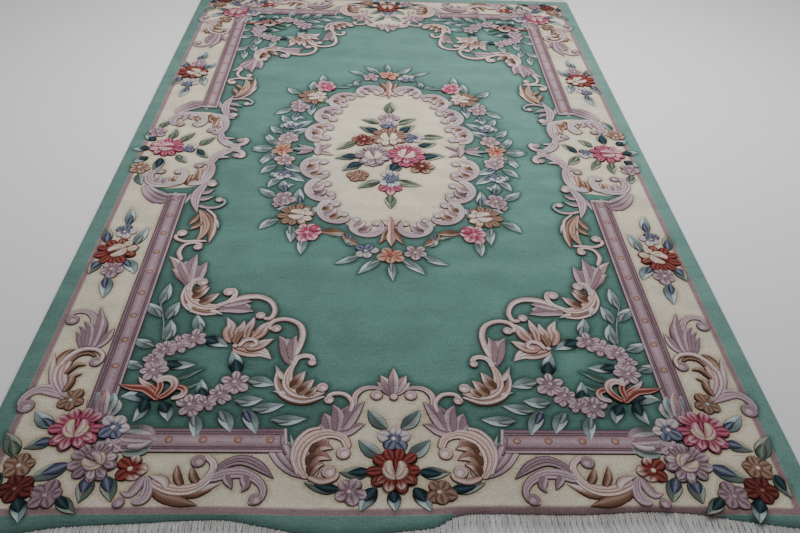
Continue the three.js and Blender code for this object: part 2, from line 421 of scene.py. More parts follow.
class Shader:
    """Short ways to add nodes to one material."""

    def __init__(self, name):
        self.material = bpy.data.materials.new(name)
        self.material.use_nodes = True
        self.tree = self.material.node_tree
        self.surface = self.tree.nodes["Principled BSDF"]

    def fill(self, node, values):
        """Sets a node's inputs, or links them where the value is another node's output."""
        for place, value in values.items():
            if isinstance(value, bpy.types.NodeSocket):
                self.tree.links.new(value, node.inputs[place])
            else:
                node.inputs[place].default_value = value

    def node(self, kind, values, **settings):
        node = self.tree.nodes.new(kind)
        for key, value in settings.items():
            setattr(node, key, value)
        self.fill(node, values)
        return node

    def math(self, operation, a, b):
        return self.node("ShaderNodeMath", {0: a, 1: b}, operation=operation).outputs[0]

    def ramp(self, value, low, high, at_low=0.0, at_high=1.0):
        """A smooth step from at_low to at_high between two values."""
        values = {0: value, 1: low, 2: high, 3: at_low, 4: at_high}
        return self.node("ShaderNodeMapRange", values, interpolation_type="SMOOTHSTEP").outputs[0]

    def mix(self, factor, a, b, blend="MIX"):
        """A mix of two colours. A mix node has them as inputs 6 and 7, and the result as output 2."""
        a, b = ((*colour, 1) if isinstance(colour, tuple) else colour for colour in (a, b))
        values = {0: factor, 6: a, 7: b}
        return self.node("ShaderNodeMix", values, data_type="RGBA", blend_type=blend).outputs[2]

    def shade(self, colour, light):
        """A colour made darker or lighter by a factor."""
        grey = self.node("ShaderNodeCombineColor", {0: light, 1: light, 2: light}).outputs[0]
        return self.mix(1.0, colour, grey, "MULTIPLY")

    def attribute(self, name, output="Fac"):
        return self.node("ShaderNodeAttribute", {}, attribute_name=name).outputs[output]

    def place(self):
        """Where a point lies in the rug's own frame."""
        return self.node("ShaderNodeTexCoord", {}).outputs["Object"]

    def noise(self, stretch, detail=2.0):
        """Noise in the rug's own frame, with so many features to a metre across, along and up."""
        place = self.node("ShaderNodeVectorMath", {0: self.place(), 1: stretch}, operation="MULTIPLY")
        values = {"Vector": place.outputs[0], "Scale": 1.0, "Detail": detail}
        return self.node("ShaderNodeTexNoise", values).outputs["Fac"]

    def uneven(self, colour, noises):
        """A colour made uneven by a few noises."""
        light = None
        for stretch, detail, *levels in noises:
            own = self.ramp(self.noise(stretch, detail), *levels)
            light = self.math("MULTIPLY", light, own) if light else own
        return self.shade(colour, light)

    def finish(self, colour, height, strength, distance, values):
        """Gives the surface its colour, its bump and its other values."""
        bump = {"Height": height, "Strength": strength, "Distance": distance}
        normal = self.node("ShaderNodeBump", bump).outputs[0]
        self.fill(self.surface, {"Base Color": colour, "Normal": normal, **values})
        return self.material


def finish_wool(shader, colour):
    """Cut wool pile: dyed unevenly, with painted shade in the slits between its rows of knots, the
    grain of its knots and a soft sheen.
    """
    colour = shader.uneven(colour, WOOL_UNEVENNESS)
    tufts = shader.math("ADD", shader.noise((300, 300, 300), 3.0), shader.noise((75, 75, 75)))
    return shader.finish(colour, tufts, 0.35, 0.0016, {
        "Sheen Tint": shader.mix(0.5, colour, (1.0, 1.0, 1.0)),
        "Sheen Weight": 0.18,
        "Sheen Roughness": 0.45,
        "Roughness": 0.94,
        "Specular IOR Level": 0.18,
    })


def motif_material():
    shader = Shader("carved_motif_wool")
    return finish_wool(shader, shader.attribute("yarn", "Color"))


def ground_material():
    """The ground's dyes, painted shade beside the carved strokes and where they crowd, and painted
    light across the green, mostly by the distances that its mesh carries in millimetres.
    """
    shader = Shader("ground_wool")
    across = shader.node("ShaderNodeSeparateXYZ", {0: shader.place()}).outputs[0]
    # Painted light across the green: darker to the left, lighter to the right
    painted_light_across = shader.ramp(across, *PAINTED_LIGHT_ACROSS_GREEN)
    # Painted shade: the green turns darker where carved strokes crowd round it
    green = shader.mix(shader.attribute("painted_crowd_shade"), GROUND_GREEN, PAINTED_SHADE_GREEN)
    cream = shader.ramp(shader.attribute("cream"), -1.6, 1.6)
    colour = shader.mix(cream, shader.shade(green, painted_light_across), GROUND_CREAM)
    guard = shader.attribute("guard")
    line = shader.math("MULTIPLY", shader.ramp(guard, -17.0, -10.0), shader.ramp(guard, 1.0, -1.0))
    colour = shader.mix(line, colour, LINE_MAUVE)
    colour = shader.mix(shader.ramp(guard, -0.8, 0.8), colour, shader.shade(GROUND_GUARD, painted_light_across))
    # Painted shade of the carved groove: the ground darkens beside every stroke, strongly on the green
    # and mildly on the cream
    open_ground = shader.ramp(shader.attribute("carve_and_shade"), 0.0, 1.0, 1.0, 0.0)
    painted_groove_shade = shader.mix(open_ground, (0.54, 0.6, 0.58), (1.0, 1.0, 1.0))
    soft = shader.mix(open_ground, (0.8, 0.75, 0.69), (1.0, 1.0, 1.0))
    inside = shader.math("MULTIPLY", cream, shader.ramp(guard, 0.8, -0.8))
    colour = shader.mix(1.0, colour, shader.mix(inside, painted_groove_shade, soft), "MULTIPLY")
    return finish_wool(shader, colour)


def cotton_material():
    shader = Shader("fringe_cotton")
    tone = shader.ramp(shader.noise((40, 12, 40)), 0.3, 0.7)
    colour = shader.uneven(shader.mix(tone, COTTON_SHADE, COTTON_LIGHT), COTTON_UNEVENNESS)
    return shader.finish(colour, shader.noise((1500, 400, 1500)), 0.4, 0.0006, {
        "Roughness": 0.85,
        "Specular IOR Level": 0.25,
        "Sheen Weight": 0.5,
    })


# The edges of the green field and of the medallion in one quarter, from the across axis round
# to the along axis
FIELD_EDGE = (
    (468, 0), (488, 14), (508, 40), (510, 62), (497, 92), (490, 130), (497, 168), (522, 196),
    (560, 206), (604, 210), (636, 206), (616, 228), (590, 240), (566, 262), (566, 640),
    (566, 985), (560, 1030), (500, 1030), (215, 1030), (190, 1050), (176, 1030), (150, 1012),
    (120, 1000), (90, 985), (74, 962), (72, 935), (60, 912), (40, 902), (18, 895), (0, 885),
)
MEDALLION_EDGE = (
    (212, 0), (222, 30), (236, 80), (222, 130), (212, 160), (210, 200), (188, 240), (178, 290),
    (165, 330), (120, 350), (100, 380), (60, 398), (20, 385), (0, 372),
)


def signed_distance(x, y, edge):
    """How far points lie outside an edge that repeats in the four quarters, below 0 inside."""
    line = line_through(edge)
    px, py = np.abs(x).ravel(), np.abs(y).ravel()
    nearest = np.full(px.size, 1e9)
    inside = np.zeros(px.size, bool)
    corners = np.vstack([line, [[-1, line[-1, 1]], [-1, -1], [line[0, 0], -1]]])
    for k, (ax, ay) in enumerate(corners):
        bx, by = corners[(k + 1) % len(corners)]
        if ay != by:
            crosses = (ay > py) != (by > py)
            inside ^= crosses & (px < (bx - ax) * (py - ay) / (by - ay) + ax)
        if k + 1 < len(line):
            dx, dy = bx - ax, by - ay
            t = np.clip(((px - ax) * dx + (py - ay) * dy) / max(dx * dx + dy * dy, 1e-9), 0, 1)
            nearest = np.minimum(nearest, (px - ax - t * dx) ** 2 + (py - ay - t * dy) ** 2)
    distance = np.sqrt(nearest)
    return np.where(inside, -distance, distance).reshape(x.shape)


def filled(keys, step):
    """Places from the first key to the last, through every key, no more than a step apart."""
    keys = sorted(keys)
    places = []
    for a, b in zip(keys, keys[1:]):
        parts = max(1, math.ceil((b - a) / step))
        places += [a + (b - a) * k / parts for k in range(parts)]
    return np.array(places + [keys[-1]])


def ground_grid():
    """Where the points of the carpet's top lie across and along, row by row, and the near end."""
    guard = (GUARD_SIDE - 3, GUARD_SIDE, GUARD_SIDE + 3)
    keys = {s * v for v in (*guard, *(HALF_WIDTH - d for d in EDGE_ROWS)) for s in (-1, 1)}
    across = filled(keys | {0}, GROUND_STEP)
    near = near_end_at(across)
    rows = [near + d for d in EDGE_ROWS]
    parts = math.ceil((GROUND_NEAR_ROW - EDGE_ROUND - near.min()) / GROUND_STEP)
    start = near + EDGE_ROUND
    rows += [start + (GROUND_NEAR_ROW - start) * k / parts for k in range(1, parts)]
    ends = (GUARD_END - 3, GUARD_END, GUARD_END + 3)
    far = filled({GROUND_NEAR_ROW, 0, *ends, *(HALF_LENGTH - d for d in EDGE_ROWS)}, GROUND_STEP)
    rows += [np.full(len(across), y) for y in far]
    return np.tile(across, (len(rows), 1)), np.array(rows), near


# Its value masks the painted shade among crowded strokes
def crowding(x, y, carved):
    """How closely carved work surrounds each place on the ground, from 0 to 1."""
    sides = (HALF_WIDTH + CROWD_REACH, HALF_LENGTH + CROWD_REACH)
    bins = [np.arange(-side, side + CROWD_CELL, CROWD_CELL) for side in sides]
    taken = (np.histogram2d(carved[:, 0], carved[:, 1], bins=bins)[0] > 0).astype(float)
    flat = np.ones(round(CROWD_REACH / CROWD_CELL))
    weights = np.convolve(flat, flat)
    weights /= weights.sum()
    for axis in (0, 1):
        taken = np.apply_along_axis(np.convolve, axis, taken, weights, "same")
    at = [((v + side) / CROWD_CELL).astype(int) for v, side in zip((x, y), sides)]
    return smooth((taken[at[0], at[1]] - 0.2) / 0.4)


def ground_piece(material, carved):
    """The carpet's own cushion of pile, replacing its plain solid. Its ground is cut lower beside the
    carved strokes, and it carries the masks for painted shade beside them and where they crowd."""
    x, y, near = ground_grid()
    from_edge = np.minimum(np.minimum(HALF_WIDTH - np.abs(x), y - near), HALF_LENGTH - y)
    s = 1 - np.clip(from_edge / EDGE_ROUND, 0, 1)
    z = WALL_HEIGHT + (PILE_TOP - WALL_HEIGHT) * np.sqrt(np.maximum(1 - s * s, 0))
    tree = kdtree.KDTree(len(carved))
    for k, (cx, cy) in enumerate(carved.tolist()):
        tree.insert((cx, cy, 0), k)
    tree.balance()
    gap = np.array([tree.find((a, b, 0))[2] for a, b in zip(x.ravel().tolist(), y.ravel().tolist())])
    # How near a stroke lies: this lowers the ground there and masks the painted shade beside the
    # strokes
    carve_and_shade = smooth(1 - gap.reshape(x.shape) / CARVE_REACH)
    guard_near = -GUARD_END - GUARD_NEAR_SHIFT + GUARD_FOLLOW * (near - NEAR_MEAN)
    guard = np.maximum(np.abs(x) - GUARD_SIDE, np.where(y > 0, y - GUARD_END, guard_near - y))
    groove = GROOVE_DEPTH * np.exp(-((guard / GROOVE_WIDTH) ** 2))
    z -= np.where(from_edge > EDGE_ROUND, CARVE_DEPTH * carve_and_shade, 0) + groove * (from_edge > 8)
    cream = np.maximum(signed_distance(x, y, FIELD_EDGE), -signed_distance(x, y, MEDALLION_EDGE))
    points = np.column_stack([x.ravel(), y.ravel(), z.ravel()])
    at = np.arange(x.size).reshape(x.shape)
    faces = np.stack([at[:-1, :-1], at[:-1, 1:], at[1:, 1:], at[1:, :-1]], axis=-1)
    faces = faces.reshape(-1, 4).tolist()
    rim = [*at[0, :-1], *at[:-1, -1], *at[-1, :0:-1], *at[:0:-1, 0]]
    foot = len(points)
    for n, k in enumerate(rim):
        after = (n + 1) % len(rim)
        faces.append([int(k), foot + n, foot + after, int(rim[after])])
    faces.append([foot + n for n in range(len(rim))][::-1])
    points = np.vstack([points, points[rim] * (1, 1, 0)])
    piece = new_piece("carpet_pile", points, faces, material)
    # Where carved strokes crowd, for the painted shade among them
    painted_crowd_shade = crowding(x, y, carved)
    for name, values in (("cream", cream), ("guard", guard), ("carve_and_shade", carve_and_shade), ("painted_crowd_shade", painted_crowd_shade)):
        full = np.concatenate([values.ravel(), values.ravel()[rim]]).astype(np.float32)
        piece.data.attributes.new(name, "FLOAT", "POINT").data.foreach_set("value", full)
    return piece


def uneven(index, seed):
    """A repeatable number from -1 to 1, as the frame's fringes have it."""
    wave = math.sin(index * 12.9898 + seed * 78.233) * 43758.5453
    return 2 * (wave - math.floor(wave)) - 1


def add_tube(points, faces, line, radii, sides):
    """Adds a closed tube along a line, with its own radius at each point."""
    ahead = np.gradient(line, axis=0)
    ahead /= np.linalg.norm(ahead, axis=1)[:, None]
    right = np.cross(ahead, (0, 0, 1))
    right /= np.linalg.norm(right, axis=1)[:, None]
    up = np.cross(right, ahead)
    angles = np.linspace(0, 2 * math.pi, sides, endpoint=False)[None, :, None]
    around = right[:, None] * np.cos(angles) + up[:, None] * np.sin(angles)
    first = sum(len(p) for p in points)
    last = first + (len(line) - 1) * sides
    points.append((line[:, None] + around * radii[:, None, None]).reshape(-1, 3))
    for start in range(first, last, sides):
        for k in range(sides):
            a, b = start + k, start + (k + 1) % sides
            faces.append((a, a + sides, b + sides, b))
    faces.append(tuple(range(first, first + sides)))
    faces.append(tuple(range(last, last + sides))[::-1])


def fringe_piece(name, side, edge_at, material):
    """A cotton fringe: a woven heading, and twisted locks that start over it at the carpet's
    edge, sink to the floor and part towards their tips."""
    points, faces = [], []
    stations = filled({-HEADING_REACH, HEADING_REACH}, HEADING_STEP)
    inner = edge_at(stations) + side * SEAM
    thick = np.full(len(stations), HEADING_THICKNESS / 2)
    for k in range(HEADING_RIBS):
        middle = inner + side * HEADING_WIDTH * (k + 0.5) / HEADING_RIBS
        add_tube(points, faces, np.column_stack([stations, middle, thick]), thick, 6)
    t = np.linspace(0, 1, LOCK_STEPS)
    pitch = (2 * HEADING_REACH - LOCK_WIDTH) / (LOCKS - 1)
    for n in range(LOCKS):
        x = -HEADING_REACH + LOCK_WIDTH / 2 + n * pitch
        root = edge_at(np.array([x]))[0] + side * (SEAM + YARN_RADIUS)
        length = HEADING_WIDTH + LOCK_LENGTH + LENGTH_UNEVENNESS * uneven(n, 1)
        loose = float(smooth((HEADING_REACH - abs(x)) / STRAIGHT_END))
        lean = sum(
            size * math.sin(x / stretch + start + side * per)
            for size, stretch, start, per in LEAN_WAVES
        )
        aside = loose * (lean + LEAN_UNEVENNESS * uneven(n, 2))
        bow = loose * BOW_UNEVENNESS * uneven(n, 3)
        for yarn in range(YARNS_PER_LOCK):
            own = n * YARNS_PER_LOCK + yarn
            reach = length * (1 + 0.04 * uneven(own, 5))
            spread = loose * YARN_SPREAD * uneven(own, 6)
            wander = loose * YARN_WANDER * uneven(own, 7)
            place = x + YARN_PITCH * (yarn - (YARNS_PER_LOCK - 1) / 2) + 0.4 * uneven(own, 8)
            turn = math.pi * uneven(own, 4) + 2 * math.pi * TWISTS * t
            gather = (x - place) * 0.5 * np.sin(math.pi * t) ** 2
            middle = place + gather + aside * t**2 + bow * np.sin(math.pi * t)
            sway = wander * t * np.sin(2.3 * math.pi * t)
            across = middle + sway + 0.7 * np.cos(turn) * t + spread * t**2
            over = HEADING_HUMP * smooth((1.7 * HEADING_WIDTH - reach * t) / (0.9 * HEADING_WIDTH))
            height = YARN_RADIUS + over + (0.5 + 0.5 * np.sin(turn)) * (1.6 - 0.9 * t)
            line = np.column_stack([across, root + side * reach * t, height])
            add_tube(points, faces, line, YARN_RADIUS * (1 - 0.35 * t**3), 4)
    return new_piece(name, np.vstack(points), faces, material)


def place_camera():
    data = bpy.data.cameras.new("camera")
    data.sensor_width = SENSOR
    data.lens = LENS_PIXELS * SENSOR / PHOTO_WIDTH
    data.clip_start = 0.01
    camera = new_object("camera", data)
    cp, sp = math.cos(CAMERA_PITCH), math.sin(CAMERA_PITCH)
    forward = Vector((math.sin(CAMERA_YAW) * cp, math.cos(CAMERA_YAW) * cp, -sp))
    level = Vector((math.cos(CAMERA_YAW), -math.sin(CAMERA_YAW), 0))
    upright = level.cross(forward)
    right = level * math.cos(CAMERA_ROLL) + upright * math.sin(CAMERA_ROLL)
    up = upright * math.cos(CAMERA_ROLL) - level * math.sin(CAMERA_ROLL)
    turn = Matrix((right, up, -forward)).transposed().to_4x4()
    camera.matrix_world = Matrix.Translation(CAMERA_AT) @ turn
    bpy.context.scene.camera = camera


def stage():
    """A plain pale floor, and soft light that comes mostly from above."""
    shader = Shader("floor_plain")
    shader.fill(shader.surface, {"Base Color": FLOOR_COLOUR, "Roughness": 0.9})
    floor = new_piece("floor", FLOOR_HALF * FLOOR_CORNERS, [(0, 1, 2, 3)], shader.material)
    world = bpy.data.worlds.new("studio")
    bpy.context.scene.world = world
    world.use_nodes = True
    sky = world.node_tree.nodes["Background"]
    sky.inputs["Color"].default_value = SKY_COLOUR
    sky.inputs["Strength"].default_value = SKY_STRENGTH
    for name, (place, target, width, height, power, spread, colour) in LIGHTS.items():
        data = bpy.data.lights.new(name, "AREA")
        data.shape = "RECTANGLE"
        data.size, data.size_y = width, height
        data.energy = power
        data.color = colour
        data.spread = math.radians(spread)
        light = new_object(name, data)
        light.location = place
        light.rotation_euler = (Vector(target) - Vector(place)).to_track_quat("-Z", "Y").to_euler()


# Kinds of leaf: yarn at the base and at the tip, then the yarn, width and reach of the dark
# flame inside
LEAF_KINDS = {
    "pale": ("pale", "frost", "grey", 0.55, 0.58),
    "grey": ("grey", "pale", None, 0, 0),
    "dark": ("dark", "frost", "dark", 0.9, 0.66),
    "fern": ("fern", "fern", "moss", 0.4, 0.7),
    "moss": ("sage", "sage", "moss", 0.78, 0.66),
    "sage": ("moss", "sage", "sage", 0.5, 0.6),
    "ivy": ("grey", "sage", "dark", 0.84, 0.76),
    "blue": ("grey", "sage", "blue", 0.82, 0.7),
    "steel": ("pale", "frost", "blue", 0.58, 0.6),
    "brown": ("brown", "peach", None, 0, 0),
}


def leaf(pen, base, tip, width, bend, kind, layer):
    """A pointed leaf from its base to its tip, bent sideways, with a darker flame inside."""
    base, tip = np.array(base), np.array(tip)
    ahead = tip - base
    length = np.linalg.norm(ahead)
    ahead /= length
    side = np.array([-ahead[1], ahead[0]])

    def along(share, off=0):
        return tuple(base + ahead * length * share + side * (off + 4 * bend * share * (1 - share)))

    yarn, end, flame, wide, reach = LEAF_KINDS[kind]
    spine = [along(0), along(0.33), along(0.66), tuple(tip)]
    pen.stroke(spine, (0.3 * width, width, 0.78 * width, 0), yarn, end, "veined", layer, (0.35, 0.7))
    if flame:
        aside = -(1 - wide) * width * 0.5
        inner = [along(0.03), along(0.4 * reach, aside), along(0.75 * reach, aside), along(reach)]
        widths = (0.25 * width, wide * width * 0.92, wide * width * 0.62, 0)
        pen.stroke(inner, widths, flame, flame, "petal", layer + 0.7)


def ragged(x, y, k):
    """A repeatable unevenness from -1 to 1 for the k-th petal of the flower at a place."""
    wave = math.sin(x * 0.37 + y * 0.53 + k * 2.399) * 437.585
    return 2 * (wave - math.floor(wave)) - 1


def petal(pen, at, angle, reach, shares, widths, yarns, layer, shift):
    """One grooved petal of a flower, with its places at shares of its reach from the middle."""
    x, y = at
    u, v = math.cos(angle), math.sin(angle)
    places = [(x + u * reach * share, y + v * reach * share) for share in shares]
    pen.stroke(places, widths, *yarns, "twin", layer, shift)


def cluster(pen, at, layer, yarns, radius, turn):
    """A blossom of the wreath: six short, round petals, three of them with the tip's yarn."""
    x, y = at
    pen.disc(at, 0.6 * radius, yarns[0], layer)
    for k in range(6):
        angle = turn + 2 * math.pi * k / 6 + 0.22 * ragged(x, y, k)
        reach = radius * (1.0 + 0.1 * ragged(y, x, k))
        wide = radius * (0.35 + 0.05 * ragged(k, x, y))
        widths = (0.5 * wide, wide, 0.95 * wide)
        own = yarns if k < 3 else (yarns[0], "mauve")
        level = layer + 0.5 * (k % 2)
        petal(pen, at, angle, reach, (0.16, 0.6, 1.0), widths, own, level, (0.1, 0.6))
    pen.disc((x + 0.06 * radius, y - 0.05 * radius), 0.16 * radius, "shell", layer + 1.2, 0.8)


def blossom(pen, at, layer, yarns, heart, radius, turn, petals=5):
    """A small flower of round, uneven petals about a heart. A blue or red one has its tip yarn
    on its first three petals alone."""
    x, y = at
    yarn = yarns[0]
    pen.disc(at, 0.5 * radius, yarn, layer)
    for k in range(int(petals)):
        angle = turn + 2 * math.pi * k / petals + 0.2 * ragged(x, y, k)
        reach = radius * (0.97 + 0.13 * ragged(y, x, k))
        wide = radius * (0.43 + 0.05 * ragged(x + y, x, k))
        widths = (0.4 * wide, wide, 0.9 * wide)
        own = yarns if k < 3 or yarn not in ("blue", "red") else (yarn, yarn)
        shift = (0.1, 0.5) if yarn == "blue" else (0.3, 0.85)
        level = layer + 0.5 * (k % 2)
        petal(pen, at, angle, reach, (0.1, 0.56, 1.0), widths, own, level, shift)
    pen.disc((x + 0.06 * radius, y + 0.05 * radius), 0.17 * radius, heart, layer + 1.2)


# A rose's cup, the slit in it and its skirt: (across, along) points and half widths of each
# petal, for a radius of 1
ROSE_CUP = (
    (((-0.04, -0.4), (-0.2, -0.12), (-0.24, 0.14), (-0.17, 0.38)), (0.08, 0.19, 0.2, 0.13)),
    (((0.05, -0.4), (0.21, -0.14), (0.26, 0.12), (0.2, 0.36)), (0.08, 0.18, 0.2, 0.15)),
    (((-0.42, 0.08), (-0.38, -0.14), (-0.22, -0.32), (0.0, -0.42)), (0.07, 0.1, 0.11, 0.07)),
    (((0.44, 0.04), (0.38, -0.16), (0.24, -0.33), (0.04, -0.43)), (0.07, 0.1, 0.11, 0.07)),
)
ROSE_SLIT = (((0.0, 0.42), (0.015, 0.24), (0.01, -0.06)), (0.075, 0.085, 0))
ROSE_SKIRT = (
    (((-0.2, -0.28), (-0.46, -0.42), (-0.66, -0.56)), (0.1, 0.22, 0.18)),
    (((0.2, -0.28), (0.46, -0.42), (0.66, -0.54)), (0.1, 0.22, 0.18)),
    (((-0.14, -0.4), (-0.22, -0.64), (-0.26, -0.94)), (0.08, 0.22, 0.19)),
    (((0.13, -0.4), (0.2, -0.6), (0.24, -0.86)), (0.08, 0.21, 0.17)),
)
RING_PETALS = 10


def rose(pen, at, radius, turn, layer, outer, middle, inner, lip=None):
    """A full rose that opens in the direction of turn: a ring of round petals, a skirt of longer
    ones below, and a pale cup with a dark cleft. Its lowest petals have the yarns of lip."""
    x, y = at
    c, s = math.sin(turn), math.cos(turn)

    def draw_petal(points, widths, yarns, section, level, shift=(0.15, 0.8)):
        places = [(x + radius * (c * u + s * v), y + radius * (c * v - s * u)) for u, v in points]
        pen.stroke(places, [radius * w for w in widths], *yarns, section, layer + level, shift)

    pen.disc(at, 0.66 * radius, outer[0], layer)
    for k in range(RING_PETALS):
        angle = 2 * math.pi * (k + 0.5) / RING_PETALS + 0.1 * ragged(x, y, k)
        u, v = math.sin(angle), math.cos(angle)
        spoke = [(u * r, v * r) for r in (0.44, 0.72, 1.0 + 0.07 * ragged(y, x, k))]
        wide = 0.24 + 0.02 * ragged(x, x + y, k)
        yarns = outer if v > 0.1 else (outer[0], outer[0])
        draw_petal(spoke, (0.55 * wide, wide, 0.86 * wide), yarns, "twin", 0.5 * (k % 2), (0.3, 1.0))
    for k, (points, widths) in enumerate(ROSE_SKIRT):
        draw_petal(points, widths, middle if k < 2 else lip or outer, "twin", 1 + 0.3 * k, (0.3, 1.0))
    for k, (points, widths) in enumerate(ROSE_CUP):
        draw_petal(points, widths, inner if k % 2 == 0 else inner[::-1], "petal", 2 + 0.3 * k)
    draw_petal(*ROSE_SLIT, (outer[0], outer[0]), "plain", 3.3)


def draw_row(pen, kind, words, numbers, places):
    """Draws one leaf, flower, disc or stroke."""
    layer = float(words.pop()) if words[-1][0].isdigit() else 0
    yarns = [(*word.split(">"), word)[:2] for word in words]
    if kind == "leaf":
        leaf(pen, *places, *numbers, words[0], layer)
    elif kind == "rose":
        rose(pen, places[0], *numbers, layer, *yarns)
    elif kind == "blossom":
        blossom(pen, places[0], layer, yarns[0], words[1], *numbers)
    elif kind == "cluster":
        cluster(pen, places[0], layer, yarns[0], *numbers)
    elif kind == "ball":
        pen.disc(places[0], numbers[0], words[0], layer, (*numbers, BALL_RISE)[1], coiled=True)
    elif kind == "disc":
        pen.disc(places[0], numbers[0], words[0], layer, light=numbers[1:] or DISC_LIGHT)
    elif kind == "buttons":
        for place in places:
            pen.disc(place, numbers[0], words[0], layer, 0.5)
            pen.disc(place, numbers[1], words[1], layer + 0.6)
    else:
        pen.stroke(places, numbers, *yarns[0], kind, layer)


def draw(pen, table):
    """Draws a table's rows in their order. Each has its words, its numbers and its places.

    The first word says what it is: a leaf, rose, blossom, cluster, ball, disc or row of buttons,
    or the section of a stroke. The next are its kind of leaf or its yarns, each from the base to
    the tip, and last its layer, if that isn't 0. The numbers are a leaf's half width and bend, a
    flower's radius, turn and petals, a ball's radius and rise, a disc's radius and light, the
    radii of a button's two discs, or a stroke's half widths. A row for "both" sides is drawn on
    the other side too, and one for the "near" or "far" end at that end alone.
    """
    for row in rows_of(table):
        words, numbers, places = row.split("|")
        words = words.split()
        numbers = [float(n) for n in numbers.split()]
        places = [tuple(float(n) for n in place.split()) for place in places.split(",")]
        where = words.pop(0) if words[0] in ("both", "near", "far") else ""
        if where == ("near" if pen.flip[1] > 0 else "far"):
            continue
        kind, *words = words
        draw_row(pen, kind, words[:], numbers, places)
        if where == "both":
            if kind == "leaf":
                numbers[1] *= -1
            draw_row(pen, kind, words[:], numbers, [(-x, y) for x, y in places])


# The drawing, part by part
RAILS = """
# The flare and rail at the side, with the small bars at its end
fluted plum>mauve 0 | 26 26 20 10 | 585 264, 610 256, 638 234, 664 200
rail rail 1 | 25 25 | 567 990, 567 700, 567 400, 567 236
plain haze 2 | 4 4 3 | 544 240, 575 240, 602 244
plain plum 2 | 2 2 | 590 300, 588 272, 560 252, 546 252
# The same at the end
fluted mauve>plum 0 | 19 20 18 11 0 | 226 1016, 216 1046, 198 1076, 176 1098, 146 1114
rail rail 1 | 27 27 | 510 1030, 400 1030, 300 1030, 207 1030
plain haze 2 | 3 3 | 207 1003, 205 1020, 202 1040
plain plum 2 | 1.6 1.8 | 230 1016, 214 1016, 212 1036, 200 1062
buttons plum clay 1 | 10 8 | 567 262, 567 335.2, 567 408.4, 567 481.6, \
    567 554.8, 567 628, 567 701.2, 567 774.4
buttons plum clay 1 | 10 8 | 567 847.6, 567 920.8, 232 1029, 292 1029, 357 1029, 420 1029
"""

